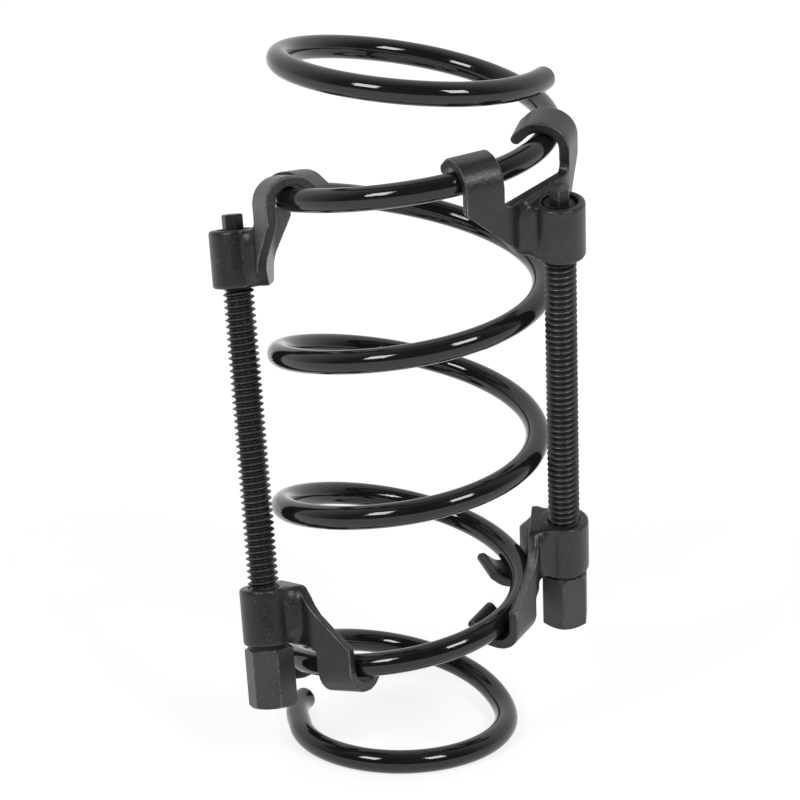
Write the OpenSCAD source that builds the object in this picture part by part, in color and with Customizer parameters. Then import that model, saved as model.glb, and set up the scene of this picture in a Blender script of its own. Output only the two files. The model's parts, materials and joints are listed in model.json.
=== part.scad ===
// A pair of coil spring compressors, hooked on a road spring.
// Each tool is a threaded spindle with two double-hook jaws. The upper jaw is a nut on
// the thread, and the lower jaw turns freely on it, above the long drive hex.
// The spring stands on its small bottom coil, and its wire runs down from the top end.

/* [Spring] */
// Thickness of the spring wire
wire_d = 12; // [10:0.5:14]
// Radius of the middle coils, to the middle of the wire
coil_r = 66; // [62:0.5:70]
// Radius of the top coil, to the middle of the wire
top_coil_r = 68; // [64:0.5:72]
// Radius of the bottom coil, to the middle of the wire
foot_coil_r = 53.5; // [48:0.5:62]
// Rise of the open coils in one turn
coil_pitch = 80.8; // [70:0.5:90]
// Turns of wire from end to end
coil_turns = 5.525; // [5.4:0.005:5.7]
// Turns at the top end that lie flat
top_flat_turns = 0.19; // [0.1:0.01:0.3]
// Turns at the bottom end that lie flat
foot_flat_turns = 0.61; // [0.5:0.01:0.75]
// How far the wire's top end is turned in from the top coil
top_end_in = 3.6; // [0:0.2:5]
// How far the wire's bottom end is turned out from the bottom coil
foot_end_out = 5.2; // [0:0.2:7]
// Direction of the wire's top end, from +X towards +Y
top_end_angle = -18; // [-36:1:0]
// Lean of the spring's middle line towards +X
spring_lean = 1.9; // [0:0.1:4]

/* [Hooked turns] */
// Turn of the wire that the left tool's upper jaw holds, from the top end
left_upper_turn = 1.456; // [1.4:0.005:1.55]
// Turn of the wire that the left tool's lower jaw holds, from the top end
left_lower_turn = 4.357; // [4.3:0.005:4.45]
// Turn of the wire that the right tool's upper jaw holds, from the top end
right_upper_turn = 1.062; // [1.02:0.005:1.15]
// Turn of the wire that the right tool's lower jaw holds, from the top end
right_lower_turn = 3.965; // [3.92:0.005:4.05]
// How far inwards of the hooks' middle the wire lies in the left upper jaw
left_upper_inset = 1; // [0:0.1:1.5]
// How far outwards of the hooks' middle the wire lies in the right lower jaw
right_lower_inset = -0.8; // [-1.5:0.1:0]

/* [Jaw] */
// Diameter of the jaw's boss
boss_d = 25; // [24:0.5:28]
// Height of the jaw's boss
boss_h = 29; // [26:0.5:32]
// Thickness of the jaw's plate and hooks
plate_t = 5.25; // [4.5:0.25:6]
// Width of one hook arm
arm_w = 20; // [16:0.5:24]
// Distance of the hooked wire from the spindle, inwards
hook_reach = 30; // [28.5:0.25:31]
// Distance of the hooked wire from the jaw's middle plane
hook_side = 28; // [26:0.5:30]
// Turn of each arm in plan, so that it faces the coil
arm_angle = 25; // [16:1:28]
// Height of the hook's middle over the middle of the boss
hook_h = 27; // [26:0.25:30]
// Room of the wire in the hook's round, all round
hook_slack = 2; // [1.5:0.25:2.75]
// Half width of the flat part at the crown of the hook's round
hook_flat = 1; // [0:0.25:1.5]
// Sweep of the hook's round, from the arm to the lip
hook_sweep = 135; // [120:5:150]
// Length of the straight lip after the hook's round
lip_l = 5.5; // [3:0.5:7]
// Height of the valley between the arms over the boss
valley_h = 2; // [0:0.5:4]
// Height over the boss at which the arms' outer edges begin to slant
slant_h = 2.5; // [1:0.5:6]
// Width of the plate at the far end of the boss
plate_foot_w = 25; // [22:1:34]
// Radius of the round edges on the boss
boss_round = 1.5; // [0.5:0.25:2.5]

/* [Spindle] */
// Outside diameter of the thread
thread_d = 15.875; // [14:0.125:16]
// Pitch of the thread
thread_pitch = 3.175; // [2:0.025:4]
// Height of the top hex over the upper jaw's boss
tip_h = 7.5; // [5:0.5:10]
// Width of the top hex across its flats
tip_af = 9.5; // [8:0.5:11]
// Width of the drive hex across its flats
drive_af = 22; // [20:0.5:24]
// Length of the drive hex
drive_l = 30; // [24:1:36]
// How far the left tool's hexes are turned from the lower jaw
left_turned = 20; // [0:5:60]
// How far the right tool's hexes are turned from the lower jaw
right_turned = 30; // [0:5:60]
// Outside diameter of the thrust washer
washer_d = 21; // [19:0.5:23]
// Thickness of the thrust washer
washer_t = 1.6; // [1:0.1:2.5]

/* [Hidden] */

// Clearances
running = 0.05;   // thread crest in a jaw's bore, on the radius
end_play = 0.1;   // washer against boss and hex
seat_gap = 0.55;  // wire under the crown of a hook, at the hook's middle
wedge = 0.02;     // spindle shank in the drive hex, on the radius

// Spring
wire_r = wire_d / 2;
top_open_turns = 0.8;     // turns over which the top coil opens to the full pitch
close_turns = 0.12;       // turns over which the last open coil closes on the foot
top_taper_turns = 1.1;    // turns over which the top coil comes down to coil_r
foot_taper_turns = 2.8;   // turns over which the bottom coils come in to foot_coil_r
foot_round_turns = 0.11;  // turns at the bottom end that keep foot_coil_r
top_bend_turns = 0.16;    // turns over which the top end is turned in
foot_bend_turns = 0.1;    // turns over which the bottom end is turned out
top_tilt_turns = 1.4;     // turns over which the top coil's tilt dies out
top_tilt = [-0.047, 0.018];  // rise of the top coil per millimetre along X and Y
foot_start = coil_turns - foot_flat_turns;
wire_sides = 12;
rings_per_turn = 36;
// the wire's middle over the ground, where it lies on one of its flats
foot_level = wire_r * cos(180 / wire_sides);
// the bottom coil's middle, from the middle of the whole pair in plan
foot_place = [-1.94, 2.05, 0];

// Jaw
groove_r = wire_r + hook_slack;
hook_out_r = groove_r + plate_t;
// the outer face of the plate, at the spindle's side of the hooked wire
arm_face_x = hook_reach - (hook_out_r + hook_flat) * cos(arm_angle);
arm_face_y = hook_side + (hook_out_r + hook_flat) * sin(arm_angle);
plate_face = boss_d / 2 - 0.7;
bend_y = arm_face_y - (arm_face_x - plate_face) / tan(arm_angle);
// the flat middle ends here, inside the arms
middle_y = bend_y - 1;
middle_rise = 0.2;   // the middle's top edge over the valley's floor between the arms
// the arm's middle, along the plate's bent outer face
arm_s = bend_y + (arm_face_y - bend_y) / cos(arm_angle);
valley_z = boss_h / 2 + valley_h;
slant_z = boss_h / 2 + slant_h;
foot_z = -boss_h / 2 + 0.5;
// angle of the slanted edges
slant = atan2(slant_z - foot_z, arm_s + arm_w / 2 - plate_foot_w / 2);
leg_l = 6;           // straight part of the hook's profile, half of it inside the arm
valley_round = 4;
foot_round = 5;
neck_y = boss_d / 2 - 0.8;
rib_r = 3.6;
rib_x = plate_face - 0.4;
rib_y = neck_y + 1.6;
bore_r = thread_d / 2 + running;
mouth_r = bore_r + 0.8;
mouth_depth = 2.5;
crown_z = hook_h + groove_r;
// the wire's middle over the boss's middle, when the wire bears on the hooks
seat_z = crown_z - wire_r - seat_gap;

// Spindle
thread_depth = 1.8;
root_r = thread_d / 2 - thread_depth;
shank_r = root_r - 0.4;
shank_short = 8;      // the shank ends this far above the drive hex's lower end
shank_l = drive_l - shank_short;
crest_w = 0.5;
root_w = 0.9;
thread_short = 1.2;   // the thread ends this far under the boss's top
washer_bore_r = thread_d / 2 + 0.25;

$fn = 64;

// 0 at t = 0, 1 at t = 1, smooth at both
function smooth(t) = let(c = min(max(t, 0), 1)) c * c * (3 - 2 * c);
// the area under smooth(), from 0 to t
function smooth_area(t) = t <= 0 ? 0 : t >= 1 ? t - 0.5 : pow(t, 3) - pow(t, 4) / 2;

// how far the wire has come down after t turns
function drop(t) =
    coil_pitch * (top_open_turns * smooth_area((t - top_flat_turns) / top_open_turns)
                  - close_turns * smooth_area((t - foot_start) / close_turns + 0.5));
function wire_radius(t) =
    coil_r
    + (top_coil_r - coil_r) * (1 - smooth(t / top_taper_turns))
    - top_end_in * (1 - smooth(t / top_bend_turns))
    + foot_end_out * smooth((t - coil_turns) / foot_bend_turns + 1)
    + (foot_coil_r - coil_r)
      * smooth((t - (coil_turns - foot_round_turns - foot_taper_turns)) / foot_taper_turns);
// the foot coil lies flat on the ground, and the lean begins above it
function leaning(t) = 1 - smooth(t - foot_start + 1);
function wire_at(t) =
    let(a = top_end_angle - 360 * t,
        x = wire_radius(t) * cos(a),
        y = wire_radius(t) * sin(a),
        tilt = (1 - smooth(t / top_tilt_turns)) * (top_tilt.x * x + top_tilt.y * y),
        z = drop(coil_turns) - drop(t) + tilt)
    [x * cos(spring_lean) + z * sin(spring_lean),
     y,
     foot_level + z * cos(spring_lean) - leaning(t) * x * sin(spring_lean)];

// Vectors
function unit(v) = v / norm(v);
// the part of v that is square to the unit vector s
function square_to(v, s) = unit(v - (v * s) * s);

// A tool's frame, from the two turns that it holds: the spindle's middle line passes
// outside the wire at both, as far as the hooks reach.
function outward(t) = let(p = wire_at(t)) unit([p.x - p.z * tan(spring_lean), p.y, 0]);
function beside(t, along, reach) = wire_at(t) + reach * square_to(outward(t), along);
// where the wire runs at the jaw's two hooks, along z from the point p
function hook_level(t, p, z) =
    let(d = asin(hook_side / coil_r) / 360) [(wire_at(t - d) - p) * z, (wire_at(t + d) - p) * z];
function reach_at(t, inset) =
    let(r = wire_radius(t)) hook_reach + inset - (r - sqrt(r * r - hook_side * hook_side));
function spindle_line(t_up, t_low, up_inset, low_inset) =
    let(r_up = reach_at(t_up, up_inset),
        r_low = reach_at(t_low, low_inset),
        a0 = unit(wire_at(t_up) - wire_at(t_low)),
        a1 = unit(beside(t_up, a0, r_up) - beside(t_low, a0, r_low)))
    [beside(t_up, a1, r_up), beside(t_low, a1, r_low)];
// middle of the boss of the jaw that holds turn t, with its hooks towards z
function boss_at(t, p, z) = let(h = hook_level(t, p, z)) p + (max(h) - seat_z) * z;
function tool(t_up, t_low, up_inset, low_inset) =
    let(ends = spindle_line(t_up, t_low, up_inset, low_inset),
        up = unit(ends[0] - ends[1]))
    [boss_at(t_up, ends[0], up), boss_at(t_low, ends[1], -up), up];

left_tool = tool(left_upper_turn, left_lower_turn, left_upper_inset, 0);
right_tool = tool(right_upper_turn, right_lower_turn, 0, right_lower_inset);

// Puts a child, drawn with +X inwards and +Z along z, at the point p beside turn t
module at_turn(p, z, t) {
    x = square_to(-outward(t), z);
    y = cross(z, x);
    at = p + foot_place;
    multmatrix([[x.x, y.x, z.x, at.x],
                [x.y, y.y, z.y, at.y],
                [x.z, y.z, z.z, at.z],
                [0, 0, 0, 1]])
        children();
}

// ---------- spring ----------

module spring() {
    count = ceil(coil_turns * rings_per_turn);
    step = coil_turns / count;
    stations = concat([0], [for (i = [0:count]) i * step], [coil_turns]);
    last = len(stations) - 1;
    // the ends are bevelled: the first and last rings are smaller
    function ring(i) =
        let(t = stations[i],
            r = (i == 0 || i == last) ? wire_r * 0.75 : wire_r,
            push = i == 0 ? -1.2 : i == last ? 1.2 : 0,
            p = wire_at(t),
            f = unit(wire_at(t + 0.001) - wire_at(t - 0.001)),
            side = square_to(outward(t), f),
            over = cross(f, side))
        [for (k = [0:wire_sides - 1])
            let(a = 360 * (k + 0.5) / wire_sides)
            p + push * f + r * cos(a) * side + r * sin(a) * over];
    points = [for (i = [0:last]) for (q = ring(i)) q];
    walls = [for (i = [0:last - 1]) for (k = [0:wire_sides - 1])
        let(n = (k + 1) % wire_sides, a = i * wire_sides, b = a + wire_sides)
        [a + k, b + k, b + n, a + n]];
    start = [for (k = [0:wire_sides - 1]) k];
    end = [for (k = [wire_sides - 1:-1:0]) last * wire_sides + k];
    color("black")
        translate(foot_place)
            polyhedron(points, concat([start], walls, [end]), convexity = 8);
}

// ---------- jaw ----------

// Points along a round: c is its middle, r its radius
function round_points(c, r, from, to, steps) =
    [for (i = [0:steps]) let(a = from + (to - from) * i / steps) c + r * [cos(a), sin(a)]];

// The plate is drawn flattened: s runs along the bent plate from its middle, z along the
// spindle. This is the height of its slanted lower edge.
function low_edge(s) = foot_z + (s - plate_foot_w / 2) * tan(slant);

// The flat middle of the plate, behind the boss, with a round at each lower corner
module middle_outline() {
    corner = round_points([plate_foot_w / 2 - foot_round * tan(slant / 2), foot_z + foot_round],
                          foot_round, -90, slant - 90, 6);
    right = concat(corner, [[middle_y, low_edge(middle_y)], [middle_y, valley_z + middle_rise]]);
    left = [for (i = [len(right) - 1:-1:0]) [-right[i].x, right[i].y]];
    polygon(concat(right, left));
}

// One arm, drawn from its own middle, with a round up from the valley. Its root is
// narrower than the plate's middle, which it starts inside.
module arm_outline() {
    root = bend_y - 4 - arm_s;
    full = bend_y - 1.6;
    valley_corner = round_points([-arm_w / 2 - valley_round, valley_z + valley_round],
                                 valley_round, 0, -90, 8);
    polygon(concat([[root, low_edge(full)],
                    [full - arm_s, low_edge(full)],
                    [arm_w / 2, slant_z],
                    [arm_w / 2, hook_h - leg_l / 2],
                    [-arm_w / 2, hook_h - leg_l / 2]],
                   valley_corner,
                   [[full - arm_s, valley_z], [root, valley_z - 2]]));
}

// One hook with the top of its arm: the wire's groove is at the origin, +X inwards
module hook_profile() {
    lip_angle = 180 - hook_sweep;
    near = [-hook_flat, 0];
    far = [hook_flat, 0];
    ray = [cos(lip_angle), sin(lip_angle)];
    tip = far + (groove_r + plate_t / 2) * ray + lip_l * [ray.y, -ray.x];
    outer_x = hook_flat + hook_out_r;
    inner_x = hook_flat + groove_r;
    polygon(concat([[-outer_x, -leg_l]],
                   round_points(near, hook_out_r, 180, 90, 16),
                   round_points(far, hook_out_r, 90, lip_angle, 8),
                   round_points(tip, plate_t / 2, lip_angle, lip_angle - 180, 12),
                   round_points(far, groove_r, lip_angle, 90, 8),
                   round_points(near, groove_r, 90, 180, 16),
                   [[-inner_x, -leg_l]]));
}

module jaw_arm(side) {
    translate([hook_reach, side * hook_side, 0])
        rotate(-side * arm_angle) {
            translate([-hook_flat - hook_out_r, 0, 0])
                rotate([90, 0, 90])
                    linear_extrude(plate_t)
                        mirror([side < 0 ? 1 : 0, 0])
                            arm_outline();
            translate([0, 0, hook_h])
                rotate([90, 0, 0])
                    linear_extrude(arm_w, center = true)
                        hook_profile();
        }
}

module jaw_plate() {
    translate([plate_face, 0, 0])
        rotate([90, 0, 90])
            linear_extrude(plate_t)
                middle_outline();
    // the arms, cut flush with the plate's outer face where they start inside it
    for (side = [-1, 1])
        intersection() {
            jaw_arm(side);
            translate([plate_face, -2 * arm_s, -boss_h])
                cube([2 * arm_s, 4 * arm_s, 3 * boss_h]);
        }
}

module boss_solid() {
    r = boss_d / 2;
    rotate_extrude()
        union() {
            translate([0, -boss_h / 2])
                square([r - boss_round, boss_h]);
            translate([0, -boss_h / 2 + boss_round])
                square([r, boss_h - 2 * boss_round]);
            for (z = [-1, 1])
                translate([r - boss_round, z * (boss_h / 2 - boss_round)])
                    circle(boss_round);
        }
}

// Joins the boss to the plate, with a round rib up each side
module jaw_neck() {
    h = -2 * foot_z;
    translate([0, -neck_y, foot_z])
        cube([plate_face + 1, 2 * neck_y, h]);
    for (side = [-1, 1])
        translate([rib_x, side * rib_y, 0]) {
            cylinder(r = rib_r, h = h - 2 * rib_r, center = true);
            for (z = [-1, 1])
                translate([0, 0, z * (h / 2 - rib_r)])
                    sphere(rib_r);
        }
}

module jaw(mouth) {
    color("dimgray")
        difference() {
            union() {
                boss_solid();
                jaw_neck();
                jaw_plate();
            }
            translate([0, 0, -boss_h])
                cylinder(r = bore_r, h = 2 * boss_h);
            if (mouth)
                translate([0, 0, boss_h / 2 - mouth_depth])
                    cylinder(r = mouth_r, h = boss_h);
        }
}

module upper_jaw(t, turn) {
    at_turn(t[0], t[2], turn) jaw(true);
}

module lower_jaw(t, turn) {
    at_turn(t[1], -t[2], turn) jaw(false);
}

// ---------- spindle, drive hex and washer ----------
// These are drawn from the lower jaw's boss: z = 0 is the middle of that boss.

function boss_span(t) = norm(t[0] - t[1]);
boss_foot = -boss_h / 2;
hex_top = boss_foot - 2 * end_play - washer_t;

module spindle(t, turn, turned) {
    thread_top = boss_span(t) + boss_h / 2 - thread_short;
    tip_top = boss_span(t) + boss_h / 2 + tip_h;
    ridges = floor((thread_top - hex_top) / thread_pitch);
    crest = thread_d / 2;
    flank = (thread_pitch - crest_w - root_w) / 2;
    at_turn(t[1], t[2], turn)
        color("#2b2b2b") rotate(turned) {
            rotate_extrude()
                polygon([[0, hex_top],
                         [root_r, hex_top],
                         for (i = [0:ridges - 1])
                             let(z = thread_top - (ridges - i) * thread_pitch)
                             each [[root_r, z + root_w / 2],
                                   [crest, z + root_w / 2 + flank],
                                   [crest, z + root_w / 2 + flank + crest_w],
                                   [root_r, z + thread_pitch - root_w / 2]],
                         [root_r, thread_top],
                         [0, thread_top]]);
            translate([0, 0, hex_top - shank_l])
                cylinder(r = shank_r, h = shank_l + 0.5);
            tip_hex(thread_top, tip_top);
        }
}

// The small hex on top, with a chamfered end
module tip_hex(from, to) {
    corner = tip_af / 2 / cos(30);
    chamfer = 1;
    intersection() {
        translate([0, 0, from - 0.5])
            cylinder(r = corner, h = to - from + 0.5, $fn = 6);
        rotate_extrude()
            polygon([[0, from - 1], [corner + 0.1, from - 1], [corner + 0.1, to - chamfer * 0.9],
                     [corner - chamfer * 1.3, to], [0, to]]);
    }
}

module drive_hex(t, turn, turned) {
    corner = drive_af / 2 / cos(30);
    base = hex_top - drive_l;
    at_turn(t[1], t[2], turn)
        color("#454545") rotate(turned)
            difference() {
                intersection() {
                    translate([0, 0, base])
                        cylinder(r = corner, h = drive_l, $fn = 6);
                    rotate_extrude()
                        polygon([[0, base], [corner - 2.2, base], [corner + 0.1, base + 2],
                                 [corner + 0.1, hex_top - 1], [drive_af / 2 - 0.4, hex_top],
                                 [0, hex_top]]);
                }
                translate([0, 0, hex_top - shank_l - 0.5])
                    cylinder(r = shank_r + wedge, h = shank_l + 1);
            }
}

module thrust_washer(t, turn) {
    at_turn(t[1], t[2], turn)
        color("#303030")
            translate([0, 0, boss_foot - end_play - washer_t])
                difference() {
                    cylinder(d = washer_d, h = washer_t);
                    translate([0, 0, -1])
                        cylinder(r = washer_bore_r, h = washer_t + 2);
                }
}

spring();
spindle(left_tool, left_lower_turn, left_turned);  // left_spindle
drive_hex(left_tool, left_lower_turn, left_turned);  // left_drive_hex
thrust_washer(left_tool, left_lower_turn);  // left_thrust_washer
upper_jaw(left_tool, left_upper_turn);  // left_upper_jaw
lower_jaw(left_tool, left_lower_turn);  // left_lower_jaw
spindle(right_tool, right_lower_turn, right_turned);  // right_spindle
drive_hex(right_tool, right_lower_turn, right_turned);  // right_drive_hex
thrust_washer(right_tool, right_lower_turn);  // right_thrust_washer
upper_jaw(right_tool, right_upper_turn);  // right_upper_jaw
lower_jaw(right_tool, right_lower_turn);  // right_lower_jaw
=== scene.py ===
"""A pair of coil spring compressors, hooked on a road spring."""

import json
import math

import bmesh
import bpy
from mathutils import Euler, Matrix, Vector
from mathutils.bvhtree import BVHTree


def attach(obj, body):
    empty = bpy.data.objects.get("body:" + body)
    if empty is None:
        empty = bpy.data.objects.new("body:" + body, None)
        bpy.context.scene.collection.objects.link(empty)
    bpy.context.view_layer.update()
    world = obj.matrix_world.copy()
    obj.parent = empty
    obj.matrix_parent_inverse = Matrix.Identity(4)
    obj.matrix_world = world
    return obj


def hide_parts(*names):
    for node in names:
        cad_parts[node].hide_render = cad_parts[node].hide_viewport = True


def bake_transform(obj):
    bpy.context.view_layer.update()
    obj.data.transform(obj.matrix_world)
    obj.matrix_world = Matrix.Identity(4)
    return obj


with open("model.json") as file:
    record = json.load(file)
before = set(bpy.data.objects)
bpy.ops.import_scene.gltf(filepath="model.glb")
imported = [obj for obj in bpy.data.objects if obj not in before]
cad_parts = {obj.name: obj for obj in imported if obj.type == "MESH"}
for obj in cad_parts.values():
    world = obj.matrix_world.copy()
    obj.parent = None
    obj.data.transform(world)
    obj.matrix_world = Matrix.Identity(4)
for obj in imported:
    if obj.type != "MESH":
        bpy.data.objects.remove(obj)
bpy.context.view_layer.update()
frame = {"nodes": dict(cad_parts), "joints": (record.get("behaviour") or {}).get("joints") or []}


# ---------- road spring ----------
# One round bar of spring steel, wound right-handed and dipped in gloss black enamel.
# Its foot lies flat, the turns open to an even pitch, and the top turn tips a little.

wire_thickness = 0.012
middle_coil_radius = 0.066
top_coil_radius = 0.068
foot_coil_radius = 0.0535
open_pitch = 0.0808
wire_turns = 5.525
top_flat_turns = 0.19
top_opening_turns = 0.8
foot_flat_turns = 0.61
foot_closing_turns = 0.12
top_taper_turns = 1.1
foot_taper_turns = 2.8
foot_round_turns = 0.11
top_bend_turns = 0.16
foot_bend_turns = 0.1
top_tip_turns = 1.4
top_end_turned_in = 0.0036
foot_end_turned_out = 0.0052
top_end_direction = math.radians(-18)
spring_lean = math.radians(1.9)
top_tip = (-0.047, 0.018)  # how far the top turn rises for each metre along X and Y
foot_middle = Vector((-0.00194, 0.00205, 0.0))
end_bevel = 0.0016
end_face_share = 0.72  # of the wire's radius, inside the bevel
rings_in_a_turn = 110
sides_of_wire = 36

wire_radius = wire_thickness / 2
# the CAD's bar has 12 sides and stands on one of them
wire_middle_height = wire_radius * math.cos(math.pi / 12)


def ease(t):
    """Goes from 0 to 1 as t does, with a soft start and a soft end."""
    t = min(max(t, 0.0), 1.0)
    return t * t * (3 - 2 * t)


def eased_length(t):
    """The area under ease, up to t."""
    if t <= 0:
        return 0.0
    return t - 0.5 if t >= 1 else t**3 - t**4 / 2


def wire_drop(turn):
    """How far the wire has come down, turn turns from its top end."""
    opened = top_opening_turns * eased_length((turn - top_flat_turns) / top_opening_turns)
    to_foot = turn - wire_turns + foot_flat_turns
    closed = foot_closing_turns * eased_length(to_foot / foot_closing_turns + 0.5)
    return open_pitch * (opened - closed)


def coil_radius(turn):
    to_end = turn - wire_turns
    foot_share = ease((to_end + foot_taper_turns + foot_round_turns) / foot_taper_turns)
    return (
        middle_coil_radius
        + (top_coil_radius - middle_coil_radius) * (1 - ease(turn / top_taper_turns))
        - top_end_turned_in * (1 - ease(turn / top_bend_turns))
        + foot_end_turned_out * ease(to_end / foot_bend_turns + 1)
        + (foot_coil_radius - middle_coil_radius) * foot_share
    )


def wire_middle(turn):
    """The middle of the wire, turn turns down from its top end."""
    angle = top_end_direction - 2 * math.pi * turn
    x = coil_radius(turn) * math.cos(angle)
    y = coil_radius(turn) * math.sin(angle)
    tipped = (1 - ease(turn / top_tip_turns)) * (top_tip[0] * x + top_tip[1] * y)
    z = wire_drop(wire_turns) - wire_drop(turn) + tipped
    leaning = 1 - ease(turn - wire_turns + foot_flat_turns + 1)
    return foot_middle + Vector(
        (
            x * math.cos(spring_lean) + z * math.sin(spring_lean),
            y,
            wire_middle_height
            + z * math.cos(spring_lean)
            - leaning * x * math.sin(spring_lean),
        )
    )


def outward_of_spring(point):
    """Level, from the spring's own middle line to the point."""
    x = point.x - foot_middle.x - point.z * math.tan(spring_lean)
    return Vector((x, point.y - foot_middle.y, 0)).normalized()


def edges_of(ring):
    return list({edge for vertex in ring for edge in vertex.link_edges})


def wire_ring(bm, turn, radius, push):
    """One ring of the bar, square to the wire, moved along it by push."""
    nudge = 0.001
    along = (wire_middle(turn + nudge) - wire_middle(turn - nudge)).normalized()
    middle = wire_middle(turn) + along * push
    out = outward_of_spring(middle)
    side = (out - out.dot(along) * along).normalized()
    over = along.cross(side)
    place = Matrix.Translation(middle) @ Matrix((side, over, along)).transposed().to_4x4()
    ring = bmesh.ops.create_circle(bm, segments=sides_of_wire, radius=radius, matrix=place)
    return edges_of(ring["verts"])


def closed_skin(bm, rings):
    """Joins the rings of edges, each to the next, and closes the two ends."""
    for ring, next_ring in zip(rings, rings[1:]):
        bmesh.ops.bridge_loops(bm, edges=ring + next_ring)
    for ring in (rings[0], rings[-1]):
        bmesh.ops.contextual_create(bm, geom=ring)
    bmesh.ops.recalc_face_normals(bm, faces=bm.faces)


bevel = []
for angle in (math.radians(0), math.radians(30), math.radians(60)):
    share = end_face_share + (1 - end_face_share) * math.sin(angle)
    bevel.append((wire_radius * share, end_bevel * math.cos(angle)))
ring_count = round(wire_turns * rings_in_a_turn)
wire_bm = bmesh.new()
wire_rings = [wire_ring(wire_bm, 0.0, radius, -push) for radius, push in bevel]
for i in range(ring_count + 1):
    wire_rings.append(wire_ring(wire_bm, wire_turns * i / ring_count, wire_radius, 0.0))
wire_rings += [wire_ring(wire_bm, wire_turns, radius, push) for radius, push in bevel[::-1]]
closed_skin(wire_bm, wire_rings)


def finished_piece(name, bm, material, body, slot, *nodes):
    """Makes the mesh an object that rides on its CAD body and stands for its CAD nodes."""
    mesh = bpy.data.meshes.new(name)
    bm.to_mesh(mesh)
    bm.free()
    for polygon in mesh.polygons:
        polygon.use_smooth = True
    mesh.materials.append(material)
    piece = bpy.data.objects.new(name, mesh)
    bpy.context.scene.collection.objects.link(piece)
    if body:
        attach(piece, body)
    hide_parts(*nodes)
    return piece


def new_material(name):
    """A material, its node tree's parts, its Principled BSDF and its Object coordinates."""
    material = bpy.data.materials.new(name)
    material.use_nodes = True
    nodes = material.node_tree.nodes
    place = nodes.new("ShaderNodeTexCoord")
    return material, nodes, material.node_tree.links, nodes["Principled BSDF"], place.outputs["Object"]


def set_socket(links, socket, value):
    """Gives an input a number, a colour, or what another node puts out."""
    if isinstance(value, bpy.types.NodeSocket):
        links.new(value, socket)
    elif isinstance(value, tuple):
        socket.default_value = (*value, 1.0)
    else:
        socket.default_value = value


def noise(nodes, links, place, scale, detail=3.0, roughness=0.5):
    texture = nodes.new("ShaderNodeTexNoise")
    set_socket(links, texture.inputs["Vector"], place)
    set_socket(links, texture.inputs["Scale"], scale)
    set_socket(links, texture.inputs["Detail"], detail)
    set_socket(links, texture.inputs["Roughness"], roughness)
    return texture.outputs["Fac"]


def spread(nodes, links, value, low, high, to_low=0.0, to_high=1.0):
    """Maps value from low..high to to_low..to_high, clamped."""
    mapped = nodes.new("ShaderNodeMapRange")
    set_socket(links, mapped.inputs["Value"], value)
    set_socket(links, mapped.inputs["From Min"], low)
    set_socket(links, mapped.inputs["From Max"], high)
    set_socket(links, mapped.inputs["To Min"], to_low)
    set_socket(links, mapped.inputs["To Max"], to_high)
    return mapped.outputs["Result"]


def blended(nodes, links, share, first, second):
    """A colour mix. A Mix node's colour sockets come after those for numbers and vectors."""
    mix = nodes.new("ShaderNodeMix")
    mix.data_type = "RGBA"
    set_socket(links, mix.inputs[0], share)
    set_socket(links, mix.inputs[6], first)
    set_socket(links, mix.inputs[7], second)
    return mix.outputs[2]


def worked_out(nodes, links, operation, first, second):
    step = nodes.new("ShaderNodeMath")
    step.operation = operation
    set_socket(links, step.inputs[0], first)
    set_socket(links, step.inputs[1], second)
    return step.outputs[0]


def bumped(nodes, links, height, strength, distance, under=None):
    bump = nodes.new("ShaderNodeBump")
    set_socket(links, bump.inputs["Strength"], strength)
    set_socket(links, bump.inputs["Distance"], distance)
    set_socket(links, bump.inputs["Height"], height)
    if under:
        set_socket(links, bump.inputs["Normal"], under)
    return bump.outputs["Normal"]


def finish_shader(links, shader, colour, roughness, normal):
    links.new(colour, shader.inputs["Base Color"])
    links.new(roughness, shader.inputs["Roughness"])
    links.new(normal, shader.inputs["Normal"])


def new_effect(name, numbers, outputs):
    """A node group that reads a place and the named numbers, for more than one material."""
    effect = bpy.data.node_groups.new(name, "ShaderNodeTree")
    effect.interface.new_socket("Place", in_out="INPUT", socket_type="NodeSocketVector")
    for number in numbers:
        effect.interface.new_socket(number, in_out="INPUT", socket_type="NodeSocketFloat")
    for output in outputs:
        effect.interface.new_socket(output, in_out="OUTPUT", socket_type="NodeSocketFloat")
    given = effect.nodes.new("NodeGroupInput")
    wanted = effect.nodes.new("NodeGroupOutput")
    return effect, effect.nodes, effect.links, given.outputs, wanted.inputs


def placed_effect(nodes, links, effect, place, numbers):
    """Puts the effect in a material, with that material's own numbers."""
    group = nodes.new("ShaderNodeGroup")
    group.node_tree = effect
    links.new(place, group.inputs["Place"])
    for name, number in numbers.items():
        set_socket(links, group.inputs[name], number)
    return group.outputs


# Settled dust: pale specks in the finish, in patches, and some paler than others.
dust, nodes, links, given, wanted = new_effect(
    "settled dust", ("Specks per metre", "Speck size"), ("Mask",)
)
cells = nodes.new("ShaderNodeTexVoronoi")
links.new(given["Place"], cells.inputs["Vector"])
links.new(given["Specks per metre"], cells.inputs["Scale"])
near = worked_out(nodes, links, "LESS_THAN", cells.outputs["Distance"], given["Speck size"])
cell_colour = nodes.new("ShaderNodeSeparateColor")
links.new(cells.outputs["Color"], cell_colour.inputs["Color"])
chosen = spread(nodes, links, cell_colour.outputs["Red"], 0.55, 1.0)
patches = spread(nodes, links, noise(nodes, links, given["Place"], scale=28.0), 0.4, 0.65)
settled = worked_out(nodes, links, "MULTIPLY", chosen, patches)
links.new(worked_out(nodes, links, "MULTIPLY", settled, near), wanted["Mask"])

deep_enamel = (0.006, 0.006, 0.0065)
thin_enamel = (0.013, 0.0125, 0.012)
dust_on_enamel = (0.09, 0.085, 0.08)

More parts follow.
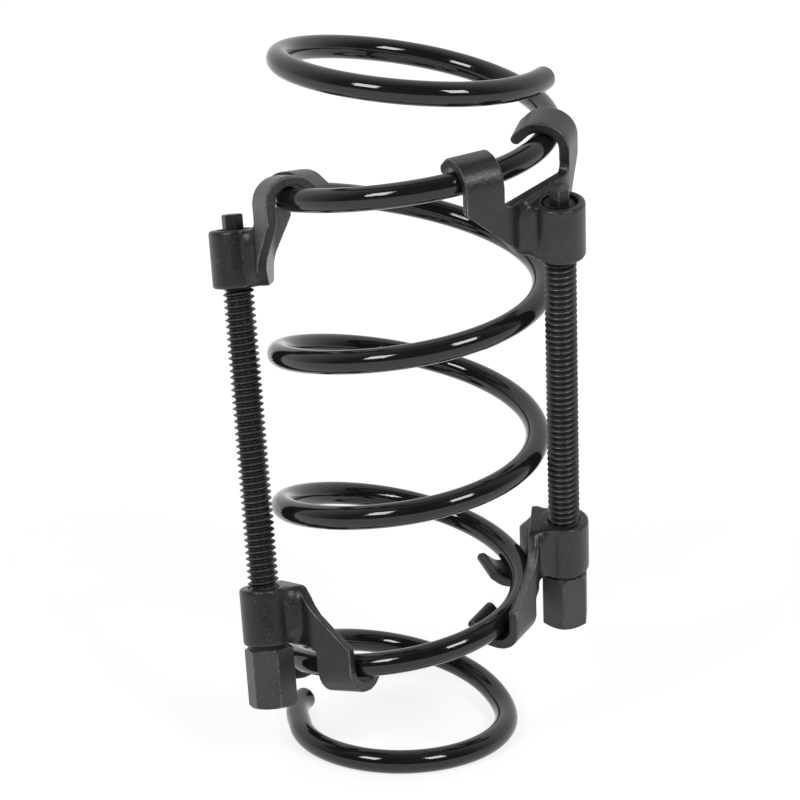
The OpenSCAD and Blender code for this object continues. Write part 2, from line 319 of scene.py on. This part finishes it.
enamel, nodes, links, shader, place = new_material("gloss black enamel")
shader.inputs["IOR"].default_value = 1.5
film = blended(nodes, links, noise(nodes, links, place, scale=60.0), deep_enamel, thin_enamel)
specks = placed_effect(nodes, links, dust, place, {"Specks per metre": 420.0, "Speck size": 0.09})
dusty = blended(nodes, links, specks["Mask"], film, dust_on_enamel)
haze = noise(nodes, links, place, scale=140.0)
gloss = spread(nodes, links, haze, 0.35, 0.7, 0.05, 0.1)
runs = noise(nodes, links, place, scale=90.0, detail=2.0)
sag = bumped(nodes, links, runs, strength=0.12, distance=0.0008)
ripples = noise(nodes, links, place, scale=420.0, detail=1.0)
rippled = bumped(nodes, links, ripples, strength=0.06, distance=0.0003, under=sag)
finish_shader(links, shader, dusty, gloss, rippled)

# in use the spring gives between the lower hooks and the upper hooks; here it rides on no body and
# keeps its shape
spring = finished_piece("road_spring", wire_bm, enamel, None, "spring_paint", "spring")
spring.data.set_sharp_from_angle(angle=math.radians(12))
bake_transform(spring)


# ---------- jaws ----------
# Four forged steel jaws: a boss on the spindle, a neck, a bent plate, and two arms that
# end in hooks over the wire. Forging leaves every edge round and the skin a little rough.

boss_radius = 0.0125
boss_height = 0.029
boss_edge = 0.0015
bore_radius = 0.0079875
bore_clearance = 0.00004  # so that the rounded skin stays out of the bore
mouth_radius = bore_radius + 0.0008
mouth_depth = 0.0025
plate_thickness = 0.00525
plate_face = boss_radius - 0.0007
plate_foot = -boss_height / 2 + 0.0005
plate_foot_half = boss_radius
plate_foot_round = 0.005
valley_height = boss_height / 2 + 0.002
valley_round = 0.004
slant_height = boss_height / 2 + 0.0025
bend_radius = 0.020
bend_strips = 12
arm_width = 0.020
arm_turn = math.radians(25)
hook_reach = 0.030
hook_side = 0.028
hook_height = 0.027
hook_groove = wire_radius + 0.002
hook_flat = 0.001
hook_sweep = 135  # degrees
hook_leg = 0.006
hook_lip = 0.0055
neck_height = boss_height / 2 - 0.0005
neck_half = boss_radius - 0.0006
neck_core = boss_radius - 0.0028
neck_flare = 0.0032
neck_flare_start = 0.0045
neck_flare_length = 0.0075
neck_swell_start = 0.0036
neck_swell_length = 0.009
neck_end = plate_face + 0.0027
neck_steps = 3
neck_step_height = 0.0025
rise_start = plate_face - 0.0016
rise_top = plate_face + 0.0004
rise_foot = 0.012
skin_grain = 0.0005  # width of the skin's faces
fully_worn = 0.0003  # how far rounding moves an edge that is rubbed bare
neck_zone_reach = (0.006, 0.0135)
neck_zone_side = (0.0095, 0.0185)
neck_wear_end = 0.0128
neck_wear_fade = 0.001
neck_wear_lost = 0.8

hook_outside = hook_groove + plate_thickness
arm_face = Vector(
    (
        hook_reach - (hook_outside + hook_flat) * math.cos(arm_turn),
        hook_side + (hook_outside + hook_flat) * math.sin(arm_turn),
    )
)
bend_side = arm_face.y - (arm_face.x - plate_face) / math.tan(arm_turn)
arm_along = bend_side + (arm_face.y - bend_side) / math.cos(arm_turn)
bend_reach = bend_radius * math.tan(arm_turn / 2)
y_and_z_swapped = Matrix(((1, 0, 0), (0, 0, 1), (0, 1, 0))).to_4x4()


def arc(middle, radius, start, end, steps):
    """Points along a round, from start to end in degrees."""
    angles = [math.radians(start + (end - start) * i / steps) for i in range(steps + 1)]
    return [(middle[0] + radius * math.cos(a), middle[1] + radius * math.sin(a)) for a in angles]


def prism(bm, outline, low, high, place):
    """A closed block: the outline drawn out along its Z from low to high, then placed."""
    face = bm.faces.new([bm.verts.new((x, y, low)) for x, y in outline])
    drawn_out = bmesh.ops.extrude_face_region(bm, geom=[face])["geom"]
    top = [part for part in drawn_out if isinstance(part, bmesh.types.BMVert)]
    bmesh.ops.translate(bm, vec=(0, 0, high - low), verts=top)
    bmesh.ops.transform(bm, matrix=place, verts=list(face.verts) + top)


def add_bmesh(bm, other):
    """Puts the other mesh into bm and frees it."""
    mesh = bpy.data.meshes.new("added")
    other.to_mesh(mesh)
    other.free()
    bm.from_mesh(mesh)
    bpy.data.meshes.remove(mesh)


def bent(along, height, depth):
    """Bends the flat plate. along runs on its outer face, depth goes in from that face."""
    side = math.copysign(1, along)
    past = abs(along) - bend_side
    turn = arm_turn * min(max((past + bend_reach) / (2 * bend_reach), 0), 1)
    if past > bend_reach:
        x = arm_face.x + (abs(along) - arm_along) * math.sin(arm_turn)
        y = arm_face.y + (abs(along) - arm_along) * math.cos(arm_turn)
    else:
        x = plate_face + bend_radius * (1 - math.cos(turn))
        y = min(abs(along), bend_side - bend_reach) + bend_radius * math.sin(turn)
    return Vector((x + depth * math.cos(turn), side * (y - depth * math.sin(turn)), height))


def jaw_plate(bm):
    """The plate and its arms: drawn flat, cut into strips where it bends, and bent."""
    arm_edge = arm_along + arm_width / 2
    arm_top = hook_height - hook_leg / 2
    slope = math.atan2(slant_height - plate_foot, arm_edge - plate_foot_half)
    corner_side = plate_foot_half - plate_foot_round * math.tan(slope / 2)
    corner = (corner_side, plate_foot + plate_foot_round)
    half = arc(corner, plate_foot_round, -90, math.degrees(slope) - 90, 8)
    half += [(arm_edge, slant_height), (arm_edge, arm_top), (arm_edge - arm_width, arm_top)]
    inner = (arm_edge - arm_width - valley_round, valley_height + valley_round)
    half += arc(inner, valley_round, 0, -90, 8)
    outline = half + [(-x, y) for x, y in half[::-1]]
    flat_bm = bmesh.new()
    prism(flat_bm, outline, 0, plate_thickness, Matrix.Identity(4))
    bmesh.ops.triangulate(flat_bm, faces=flat_bm.faces)
    for step in range(bend_strips + 1):
        for side in (-1, 1):
            cut = side * (bend_side + bend_reach * (2 * step / bend_strips - 1))
            everything = list(flat_bm.verts) + list(flat_bm.edges) + list(flat_bm.faces)
            bmesh.ops.bisect_plane(flat_bm, geom=everything, plane_co=(cut, 0, 0), plane_no=(1, 0, 0))
    for vertex in flat_bm.verts:
        vertex.co = bent(*vertex.co)
    add_bmesh(bm, flat_bm)


def jaw_hook(bm, side):
    """One hook and the leg that it stands on, drawn from the side and as wide as its arm."""
    end = 180 - hook_sweep
    ray = (math.cos(math.radians(end)), math.sin(math.radians(end)))
    hook_middle = hook_groove + plate_thickness / 2
    lip = (
        hook_flat + hook_middle * ray[0] + hook_lip * ray[1],
        hook_middle * ray[1] - hook_lip * ray[0],
    )
    outline = [(-hook_flat - hook_outside, -hook_leg)]
    outline += arc((-hook_flat, 0), hook_outside, 180, 90, 20)
    outline += arc((hook_flat, 0), hook_outside, 90, end, 12)
    outline += arc(lip, plate_thickness / 2, end, end - 180, 12)
    outline += arc((hook_flat, 0), hook_groove, end, 90, 12)
    outline += arc((-hook_flat, 0), hook_groove, 90, 180, 20)
    outline += [(-hook_flat - hook_groove, -hook_leg)]
    place = Matrix.Translation((hook_reach, side * hook_side, hook_height))
    place = place @ Matrix.Rotation(-side * arm_turn, 4, "Z") @ y_and_z_swapped
    prism(bm, outline, -arm_width / 2, arm_width / 2, place)


def jaw_boss(bm, has_mouth):
    """The boss, turned round its bore. The upper jaws' bore is wider at the mouth."""
    half = boss_height / 2
    edge_middle = boss_radius - boss_edge
    outline = [(bore_radius, -half)]
    outline += arc((edge_middle, -half + boss_edge), boss_edge, -90, 0, 6)
    outline += arc((edge_middle, half - boss_edge), boss_edge, 0, 90, 6)
    if has_mouth:
        outline += [(mouth_radius, half), (mouth_radius, half - mouth_depth)]
        outline += [(bore_radius, half - mouth_depth)]
    else:
        outline += [(bore_radius, half)]
    verts = [bm.verts.new((x, 0, z)) for x, z in outline]
    edges = [bm.edges.new((verts[i - 1], verts[i])) for i in range(len(verts))]
    bmesh.ops.spin(
        bm,
        geom=verts + edges,
        cent=(0, 0, 0),
        axis=(0, 0, 1),
        angle=2 * math.pi,
        steps=96,
        use_merge=True,
    )


def jaw_neck(bm):
    """Joins the boss to the plate and swells towards it, with a rise up to the valley."""
    for step in range(neck_steps):
        flare = neck_flare * step / (neck_steps - 1)
        swell = []
        for i in range(17):
            x = neck_swell_start + neck_swell_length * i / 16
            flared = flare * ease((x - neck_flare_start) / neck_flare_length)
            swell.append((x, neck_half + flared))
        swell.append((neck_end, swell[-1][1]))
        outline = arc((0, 0), neck_core, -70, 70, 16) + swell + [(x, -y) for x, y in swell[::-1]]
        height = neck_height - step * neck_step_height
        prism(bm, outline, -height, height, Matrix.Identity(4))
    rise = [(rise_start, rise_foot), (neck_end, rise_foot), (neck_end, valley_height)]
    rise += [(rise_top, valley_height), (rise_start, boss_height / 2)]
    prism(bm, rise, -neck_half, neck_half, y_and_z_swapped)


def smoothed(bm, verts, passes):
    for _ in range(passes):
        bmesh.ops.smooth_vert(
            bm, verts=verts, factor=0.5, use_axis_x=True, use_axis_y=True, use_axis_z=True
        )


def one_skin(shells):
    """The outside of all the shells as one mesh with even small faces."""
    mesh = bpy.data.meshes.new("jaw shells")
    shells.to_mesh(mesh)
    blank = bpy.data.objects.new("jaw blank", mesh)
    bpy.context.scene.collection.objects.link(blank)
    remesh = blank.modifiers.new("one skin", "REMESH")
    remesh.mode = "VOXEL"
    remesh.voxel_size = skin_grain
    evaluated = blank.evaluated_get(bpy.context.evaluated_depsgraph_get())
    skin_mesh = bpy.data.meshes.new_from_object(evaluated)
    bm = bmesh.new()
    bm.from_mesh(skin_mesh)
    bpy.data.objects.remove(blank)
    bpy.data.meshes.remove(mesh)
    bpy.data.meshes.remove(skin_mesh)
    return bm


def forged_bmesh(has_mouth):
    """One jaw as one skin, its edges rounded as forging leaves them.

    The point attribute "wear" is 1 on sharp outer edges and -1 in sharp inner corners.
    """
    shells = bmesh.new()
    jaw_plate(shells)
    jaw_hook(shells, -1)
    jaw_hook(shells, 1)
    jaw_boss(shells, has_mouth)
    jaw_neck(shells)
    bmesh.ops.recalc_face_normals(shells, faces=shells.faces)
    drawn = BVHTree.FromBMesh(shells)
    bm = one_skin(shells)
    shells.free()
    # onto the drawn faces, then rounded
    for vertex in bm.verts:
        nearest, _, _, distance = drawn.find_nearest(vertex.co)
        if distance < skin_grain:
            vertex.co = nearest
    bm.normal_update()
    before = [(vertex.co.copy(), vertex.normal.copy()) for vertex in bm.verts]
    smoothed(bm, bm.verts, 6)
    wear_and_root_shade = bm.verts.layers.float.new("wear_and_root_shade")
    for vertex, (place, normal) in zip(bm.verts, before):
        vertex[wear_and_root_shade] = min(max((place - vertex.co).dot(normal) / fully_worn, -1), 1)
    # the neck runs softly into the boss and the plate, with nothing there to rub
    neck = []
    for vertex in bm.verts:
        reaches = neck_zone_reach[0] < vertex.co.x < neck_zone_reach[1]
        if reaches and neck_zone_side[0] < abs(vertex.co.y) < neck_zone_side[1]:
            neck.append(vertex)
    smoothed(bm, neck, 60)
    for vertex in neck:
        vertex[wear_and_root_shade] *= 1 - neck_wear_lost * ease((neck_wear_end - vertex.co.x) / neck_wear_fade)
    # the bore keeps its size, so that the thread turns freely in it
    clear_radius = bore_radius + bore_clearance
    for vertex in bm.verts:
        outward = Vector((vertex.co.x, vertex.co.y, 0))
        if outward.length < clear_radius:
            vertex.co += outward.normalized() * (clear_radius - outward.length)
    return bm


def attribute(nodes, name):
    reader = nodes.new("ShaderNodeAttribute")
    reader.attribute_name = name
    return reader.outputs["Fac"]


# Mottling: broad soft patches between two tones of one finish.
mottling, nodes, links, given, wanted = new_effect(
    "mottling", ("Patches per metre", "Detail"), ("Mask",)
)
patches = noise(nodes, links, given["Place"], given["Patches per metre"], given["Detail"])
links.new(spread(nodes, links, patches, 0.35, 0.65), wanted["Mask"])

# Grain: the fine roughness of a skin that isn't machined bright, and its paler tops.
grain, nodes, links, given, wanted = new_effect(
    "grain",
    ("Grains per metre", "Detail", "Roughness", "Tops from", "Tops to", "Tops show"),
    ("Height", "Tops"),
)
grains = noise(
    nodes, links, given["Place"], given["Grains per metre"], given["Detail"], given["Roughness"]
)
tops = spread(nodes, links, grains, given["Tops from"], given["Tops to"], 0.0, given["Tops show"])
links.new(grains, wanted["Height"])
links.new(tops, wanted["Tops"])

# Rubbed edges: bare steel where "wear" is high, in patches.
rubbing, nodes, links, given, wanted = new_effect(
    "rubbed edges",
    (
        "Wear",
        "Wear from",
        "Wear to",
        "Patches per metre",
        "Detail",
        "Roughness",
        "Patches from",
        "Patches to",
        "Between patches",
    ),
    ("Mask",),
)
patches = noise(
    nodes, links, given["Place"], given["Patches per metre"], given["Detail"], given["Roughness"]
)
patchy = spread(
    nodes, links, patches, given["Patches from"], given["Patches to"], given["Between patches"]
)
sharp = spread(nodes, links, given["Wear"], given["Wear from"], given["Wear to"])
links.new(worked_out(nodes, links, "MULTIPLY", sharp, patchy), wanted["Mask"])

deep_black = (0.0085, 0.0085, 0.009)
soft_black = (0.0165, 0.0165, 0.017)
grain_top = (0.07, 0.07, 0.071)
bare_forging = (0.17, 0.17, 0.172)
dust_on_forging = (0.18, 0.18, 0.18)

forged, nodes, links, shader, place = new_material("forged black satin")
shader.inputs["IOR"].default_value = 1.5
mottled = placed_effect(nodes, links, mottling, place, {"Patches per metre": 45.0, "Detail": 4.0})
grained = placed_effect(
    nodes,
    links,
    grain,
    place,
    {
        "Grains per metre": 750.0,
        "Detail": 4.0,
        "Roughness": 0.65,
        "Tops from": 0.56,
        "Tops to": 0.74,
        "Tops show": 0.6,
    },
)
rubbed = placed_effect(
    nodes,
    links,
    rubbing,
    place,
    {
        "Wear": attribute(nodes, "wear_and_root_shade"),
        "Wear from": 0.38,
        "Wear to": 0.66,
        "Patches per metre": 90.0,
        "Detail": 3.0,
        "Roughness": 0.6,
        "Patches from": 0.42,
        "Patches to": 0.6,
        "Between patches": 0.35,
    },
)
specks = placed_effect(nodes, links, dust, place, {"Specks per metre": 900.0, "Speck size": 0.15})
colour = blended(nodes, links, mottled["Mask"], deep_black, soft_black)
colour = blended(nodes, links, grained["Tops"], colour, grain_top)
colour = blended(nodes, links, rubbed["Mask"], colour, bare_forging)
colour = blended(nodes, links, specks["Mask"], colour, dust_on_forging)
satin = spread(nodes, links, grained["Height"], 0.3, 0.7, 0.27, 0.4)
lumps = noise(nodes, links, place, scale=110.0, detail=2.0)
lumpy = bumped(nodes, links, lumps, strength=0.3, distance=0.0006)
rough_skin = bumped(nodes, links, grained["Height"], strength=0.9, distance=0.0002, under=lumpy)
finish_shader(links, shader, colour, satin, rough_skin)

joints = {joint["name"]: joint for joint in frame["joints"]}
skins = {}
for end in ("upper", "lower"):
    skin_bm = forged_bmesh(has_mouth=(end == "upper"))
    skins[end] = bpy.data.meshes.new("jaw skin")
    skin_bm.to_mesh(skins[end])
    skin_bm.free()


def screw_line(side):
    """The middle of a spindle's lower boss, and the way up along the spindle."""
    joint = joints[side + "_spin"]
    axis = Vector(joint["axis"]).normalized()
    return Vector(joint["pos_m"]), axis if axis.z > 0 else -axis


# where each jaw holds the wire, in turns down from the spring's top end
held_at_turn = {
    ("left", "upper"): 1.456,
    ("left", "lower"): 4.357,
    ("right", "upper"): 1.062,
    ("right", "lower"): 3.965,
}
for (side, end), turn in held_at_turn.items():
    pivot, up = screw_line(side)
    hooks = up if end == "upper" else -up
    node = f"{side}_{end}_jaw"
    foot = min((v.co - pivot).dot(hooks) for v in frame["nodes"][node].data.vertices)
    inward = -outward_of_spring(wire_middle(turn))
    inward = (inward - inward.dot(hooks) * hooks).normalized()
    jaw_place = Matrix.Translation(pivot + hooks * (foot + boss_height / 2))
    jaw_place = jaw_place @ Matrix((inward, hooks.cross(inward), hooks)).transposed().to_4x4()
    jaw_bm = bmesh.new()
    jaw_bm.from_mesh(skins[end])
    bmesh.ops.transform(jaw_bm, matrix=jaw_place, verts=jaw_bm.verts)
    body = f"{side}_upper" if end == "upper" else "base"
    finished_piece(f"forged_{node}", jaw_bm, forged, body, "forged_black", node)
for skin_mesh in skins.values():
    bpy.data.meshes.remove(skin_mesh)


# ---------- spindles ----------
# Two steel screws with a coarse right-hand thread, blackened, with a small hex on top
# that a spanner holds. The jaws ride on the thread.

thread_pitch = 0.003175
crest_radius = 0.0079375
root_radius = crest_radius - 0.0018
steps_in_a_turn = 48
screw_foot = -boss_height / 2 - 0.0018  # just past the washer, from the lower boss's middle
thread_end = 0.0087  # below the spindle's top
tip_across_flats = 0.0095
tip_set_in = 0.0005
hex_steps = 180
hex_corner_land = 0.00014
hex_land_edge = 0.00012
hex_face_inset = 0.0002
hex_edge_strip = 0.0003
hex_face_wear = 0.6
merge_distance = 2e-5

# painted shade: the dark that the thread's roots get, standing in for the shade that falls in them
painted_root_shade = (0.008, 0.008, 0.008)
oiled_black = (0.024, 0.024, 0.025)
dry_black = (0.041, 0.041, 0.042)
dust_on_steel = (0.25, 0.25, 0.25)

blackened, nodes, links, shader, place = new_material("blackened screw steel")
shader.inputs["IOR"].default_value = 1.6
crests = attribute(nodes, "wear_and_root_shade")
mottled = placed_effect(nodes, links, mottling, place, {"Patches per metre": 75.0, "Detail": 4.0})
specks = placed_effect(nodes, links, dust, place, {"Specks per metre": 800.0, "Speck size": 0.2})
colour = blended(nodes, links, mottled["Mask"], oiled_black, dry_black)
# painted shade: towards the thread's roots the colour goes to the painted root shade
colour = blended(nodes, links, spread(nodes, links, crests, 0.15, 0.95), painted_root_shade, colour)
colour = blended(nodes, links, specks["Mask"], colour, dust_on_steel)
streaks = noise(nodes, links, place, scale=900.0, detail=3.0)
dulled = spread(nodes, links, streaks, 0.3, 0.7, 0.3, 0.45)
streaky = bumped(nodes, links, streaks, strength=0.2, distance=0.00008)
finish_shader(links, shader, colour, dulled, streaky)
# painted shade as well: the roots get a lower specular level than the crests
links.new(spread(nodes, links, crests, 0.0, 0.8, 0.2, 0.5), shader.inputs["Specular IOR Level"])


def hexagon_bmesh(across_flats, low, high, low_chamfer, high_chamfer, flat_wear):
    """A hex bar along Z with turned chamfers at its ends. "wear" is 1 along its corners."""
    corner = across_flats / 2 / math.cos(math.radians(30))
    land = corner - hex_corner_land
    face_radius = across_flats / 2 - hex_face_inset
    bm = bmesh.new()
    wear_and_root_shade = bm.verts.layers.float.new("wear_and_root_shade")

    def outline_at(angle):
        """The bar's outline at one angle, as radius, height and wear, from low to high."""
        from_flat = math.radians(math.degrees(angle) % 60 - 30)
        radius = min(across_flats / 2 / math.cos(from_flat), land)
        worn = max(flat_wear, ease((radius - land + hex_land_edge) / hex_land_edge))
        fall = (radius - face_radius) * math.tan(math.radians(30))
        bottom = low + fall * low_chamfer
        top = high - fall * high_chamfer
        outline = [(face_radius, low, hex_face_wear), (radius, bottom, 1.0)]
        outline += [(radius, bottom + hex_edge_strip, worn)]
        outline += [(radius, bottom + (top - bottom) * i / 5, worn) for i in range(1, 5)]
        outline += [(radius, top - hex_edge_strip, worn), (radius, top, 1.0)]
        return outline + [(face_radius, high, hex_face_wear)]

    rings = []
    for row in range(len(outline_at(0.0))):
        ring = bmesh.ops.create_circle(bm, segments=hex_steps, radius=1.0)["verts"]
        for vertex in ring:
            angle = math.atan2(vertex.co.y, vertex.co.x)
            radius, height, worn = outline_at(angle)[row]
            vertex.co = (radius * math.cos(angle), radius * math.sin(angle), height)
            vertex[wear_and_root_shade] = worn
        rings.append(edges_of(ring))
    closed_skin(bm, rings)
    return bm


def on_axis(pivot, axis, corner):
    """Where a piece drawn along Z goes: Z on the axis, X towards corner."""
    x = (corner - corner.dot(axis) * axis).normalized()
    return Matrix.Translation(pivot) @ Matrix((x, axis.cross(x), axis)).transposed().to_4x4()


# half a ridge is drawn as (height, place along one pitch): the root, the flank, the crest
ridge = [(0, 0), (0, 0.1), (0.04, 0.14), (0.12, 0.17), (0.84, 0.39), (0.95, 0.44), (1, 0.5)]
ridge += [(height, 1 - along) for height, along in ridge[-2::-1]]

for side in ("left", "right"):
    pivot, up = screw_line(side)
    spindle_verts = [v.co - pivot for v in frame["nodes"][side + "_spindle"].data.vertices]
    top = max(v.dot(up) for v in spindle_verts)
    screw_top = top - thread_end
    # the thread is drawn too long at both ends and cut off there
    low = screw_foot - 1.5 * thread_pitch
    turn_bm = bmesh.new()
    line = []
    for height, along in ridge:
        radius = root_radius + (crest_radius - root_radius) * height
        line.append(turn_bm.verts.new((radius, 0, low + thread_pitch * along)))
    edges = [turn_bm.edges.new(pair) for pair in zip(line, line[1:])]
    bmesh.ops.spin(
        turn_bm,
        geom=line + edges,
        cent=(0, 0, 0),
        axis=(0, 0, 1),
        dvec=(0, 0, thread_pitch / steps_in_a_turn),
        angle=2 * math.pi,
        steps=steps_in_a_turn,
    )
    turn_mesh = bpy.data.meshes.new("one turn")
    turn_bm.to_mesh(turn_mesh)
    turn_bm.free()
    screw_bm = bmesh.new()
    for _ in range(math.ceil((screw_top - low) / thread_pitch) + 1):
        screw_bm.from_mesh(turn_mesh)
        turn_mesh.transform(Matrix.Translation((0, 0, thread_pitch)))
    bpy.data.meshes.remove(turn_mesh)
    bmesh.ops.remove_doubles(screw_bm, verts=screw_bm.verts, dist=merge_distance)
    for height, upward in ((screw_top, 1), (screw_foot, -1)):
        bmesh.ops.bisect_plane(
            screw_bm,
            geom=list(screw_bm.verts) + list(screw_bm.edges) + list(screw_bm.faces),
            plane_co=(0, 0, height),
            plane_no=(0, 0, upward),
            clear_outer=True,
        )
    # the cuts leave slivers
    bmesh.ops.remove_doubles(screw_bm, verts=screw_bm.verts, dist=merge_distance / 2)
    bmesh.ops.holes_fill(screw_bm, edges=[e for e in screw_bm.edges if e.is_boundary])
    bmesh.ops.recalc_face_normals(screw_bm, faces=screw_bm.faces)
    # on the screw this attribute is no wear: it holds how high a point stands, from the thread's root
    # (0) to its crest (1), and the material paints shade into the roots from it
    wear_and_root_shade = screw_bm.verts.layers.float.new("wear_and_root_shade")
    for vertex in screw_bm.verts:
        radius = math.hypot(vertex.co.x, vertex.co.y)
        vertex[wear_and_root_shade] = (radius - root_radius) / (crest_radius - root_radius)
    # the small hex, set a little into the screw's end
    add_bmesh(screw_bm, hexagon_bmesh(tip_across_flats, screw_top - tip_set_in, top, 0, 1, 0.3))
    tip_verts = [v for v in spindle_verts if v.dot(up) > top - thread_end / 2]
    corner = max(tip_verts, key=lambda offset: (offset - offset.dot(up) * up).length)
    bmesh.ops.transform(screw_bm, matrix=on_axis(pivot, up, corner), verts=screw_bm.verts)
    piece_name = f"{side}_screw_and_tip"
    node = f"{side}_spindle"
    piece = finished_piece(piece_name, screw_bm, blackened, f"{side}_screw", "black_oxide", node)
    piece.data.set_sharp_from_angle(angle=math.radians(50))


# ---------- drive hexes ----------
# A long hex of dark steel is fixed on each spindle's foot for the wrench. Its corners are
# rubbed bright in places.

drive_across_flats = 0.022

dark_scale = (0.032, 0.032, 0.033)
light_scale = (0.046, 0.046, 0.047)
pit_rim = (0.09, 0.09, 0.09)
bare_steel = (0.26, 0.26, 0.262)

dark_steel, nodes, links, shader, place = new_material("dark machined steel")
shader.inputs["IOR"].default_value = 1.5
mottled = placed_effect(nodes, links, mottling, place, {"Patches per metre": 90.0, "Detail": 5.0})
grained = placed_effect(
    nodes,
    links,
    grain,
    place,
    {
        "Grains per metre": 1200.0,
        "Detail": 4.0,
        "Roughness": 0.6,
        "Tops from": 0.55,
        "Tops to": 0.75,
        "Tops show": 0.5,
    },
)
rubbed = placed_effect(
    nodes,
    links,
    rubbing,
    place,
    {
        "Wear": attribute(nodes, "wear_and_root_shade"),
        "Wear from": 0.3,
        "Wear to": 0.95,
        "Patches per metre": 420.0,
        "Detail": 4.0,
        "Roughness": 0.7,
        "Patches from": 0.5,
        "Patches to": 0.64,
        "Between patches": 0.0,
    },
)
specks = placed_effect(nodes, links, dust, place, {"Specks per metre": 900.0, "Speck size": 0.18})
colour = blended(nodes, links, mottled["Mask"], dark_scale, light_scale)
colour = blended(nodes, links, grained["Tops"], colour, pit_rim)
colour = blended(nodes, links, rubbed["Mask"], colour, bare_steel)
colour = blended(nodes, links, specks["Mask"], colour, dust_on_steel)
dulled = spread(nodes, links, grained["Height"], 0.3, 0.7, 0.36, 0.52)
pitted = bumped(nodes, links, grained["Height"], strength=0.35, distance=0.0001)
finish_shader(links, shader, colour, dulled, pitted)

for side in ("left", "right"):
    pivot, up = screw_line(side)
    node = f"{side}_drive_hex"
    drive_verts = [v.co - pivot for v in frame["nodes"][node].data.vertices]
    reach = [v.dot(up) for v in drive_verts]
    corner = max(drive_verts, key=lambda offset: (offset - offset.dot(up) * up).length)
    drive_bm = hexagon_bmesh(drive_across_flats, min(reach), max(reach), 1, 1, 0.0)
    bmesh.ops.transform(drive_bm, matrix=on_axis(pivot, up, corner), verts=drive_bm.verts)
    piece_name = f"{side}_long_hex"
    drive = finished_piece(piece_name, drive_bm, dark_steel, f"{side}_screw", "dark_steel", node)
    drive.data.set_sharp_from_angle(angle=math.radians(40))


# ---------- thrust washers ----------
# A thin flat washer of blackened steel lies between each drive hex and its lower jaw. It
# is as plain as the CAD's, so its mesh is a copy of that one.

for side in ("left", "right"):
    node = f"{side}_thrust_washer"
    washer_bm = bmesh.new()
    washer_bm.from_mesh(frame["nodes"][node].data)
    bmesh.ops.remove_doubles(washer_bm, verts=washer_bm.verts, dist=1e-6)
    piece_name = f"{side}_flat_washer"
    washer = finished_piece(piece_name, washer_bm, blackened, "base", "dark_steel", node)
    washer.data.set_sharp_from_angle(angle=math.radians(40))


# ---------- floor, light and camera ----------
# A white sheet to stand on, two softboxes in front, and the pale wall of a studio behind.
# Near the object the sheet glows a little less, so that the shadow on it shows.

floor_half = 6.0
glow_strength = 1.14
glow_near = 0.7
glow_far = 0.86
near_radius = 0.25
far_radius = 0.9

floor_bm = bmesh.new()
bmesh.ops.create_grid(floor_bm, x_segments=1, y_segments=1, size=floor_half)
floor_mesh = bpy.data.meshes.new("floor")
floor_bm.to_mesh(floor_mesh)
floor_bm.free()
floor = bpy.data.objects.new("floor", floor_mesh)
bpy.context.scene.collection.objects.link(floor)
paper, nodes, links, shader, place = new_material("white paper")
shader.inputs["Base Color"].default_value = (0.86, 0.86, 0.86, 1.0)
shader.inputs["Roughness"].default_value = 0.9
shader.inputs["Specular IOR Level"].default_value = 0.1
glow = nodes.new("ShaderNodeEmission")
glow.inputs["Strength"].default_value = glow_strength
ray = nodes.new("ShaderNodeLightPath")
seen = worked_out(nodes, links, "MAXIMUM", ray.outputs["Is Camera Ray"], ray.outputs["Is Glossy Ray"])
from_middle = nodes.new("ShaderNodeVectorMath")
from_middle.operation = "LENGTH"
links.new(place, from_middle.inputs[0])
distance = from_middle.outputs["Value"]
glow_share = spread(nodes, links, distance, near_radius, far_radius, glow_near, glow_far)
mixed = nodes.new("ShaderNodeMixShader")
links.new(worked_out(nodes, links, "MULTIPLY", seen, glow_share), mixed.inputs[0])
links.new(shader.outputs["BSDF"], mixed.inputs[1])
links.new(glow.outputs["Emission"], mixed.inputs[2])
links.new(mixed.outputs[0], nodes["Material Output"].inputs["Surface"])
floor_mesh.materials.append(paper)

# the studio is dark in front and grows pale towards the wall behind
dark_front = 0.03
pale_wall = 0.85

world = bpy.data.worlds.new("studio")
bpy.context.scene.world = world
world.use_nodes = True
nodes, links = world.node_tree.nodes, world.node_tree.links
direction = nodes.new("ShaderNodeTexCoord")
axes = nodes.new("ShaderNodeSeparateXYZ")
links.new(direction.outputs["Generated"], axes.inputs[0])
wall = spread(nodes, links, axes.outputs["Y"], -0.45, 0.4, dark_front, pale_wall)
ray = nodes.new("ShaderNodeLightPath")
seen = worked_out(nodes, links, "MAXIMUM", wall, ray.outputs["Is Camera Ray"])
links.new(seen, nodes["Background"].inputs["Strength"])
nodes["Background"].inputs["Color"].default_value = (1.0, 1.0, 1.0, 1.0)

softbox_aim = Vector((0, 0, 0.18))
softbox_distance = 1.5
softbox_width = 0.42
softbox_height = 0.5
softbox_strength = 15.0
softbox_elevation = math.radians(37)


def softbox(name, azimuth):
    """An area lamp that faces the object. Azimuth 0 is in front, to the right of it above 0."""
    lamp = bpy.data.lights.new(name, "AREA")
    lamp.shape = "RECTANGLE"
    lamp.size = softbox_width
    lamp.size_y = softbox_height
    lamp.energy = softbox_strength * math.pi * softbox_width * softbox_height
    level = math.cos(softbox_elevation)
    towards = Vector(
        (math.sin(azimuth) * level, -math.cos(azimuth) * level, math.sin(softbox_elevation))
    )
    box = bpy.data.objects.new(name, lamp)
    box.location = softbox_aim + towards * softbox_distance
    box.rotation_euler = towards.to_track_quat("Z", "Y").to_euler()
    bpy.context.scene.collection.objects.link(box)


softbox("left softbox", math.radians(-37))
softbox("right softbox", math.radians(37))

lens = bpy.data.cameras.new("camera")
lens.lens = 134.63
lens.sensor_width = 36.0
lens.clip_end = 50.0
camera = bpy.data.objects.new("camera", lens)
bpy.context.scene.collection.objects.link(camera)
camera.location = (0.019445, -1.434654, 0.653168)
camera.rotation_euler = Euler((math.radians(71.812), math.radians(0.8195), math.radians(0.5345)))
bpy.context.scene.camera = camera
bpy.context.scene.view_settings.view_transform = "Standard"
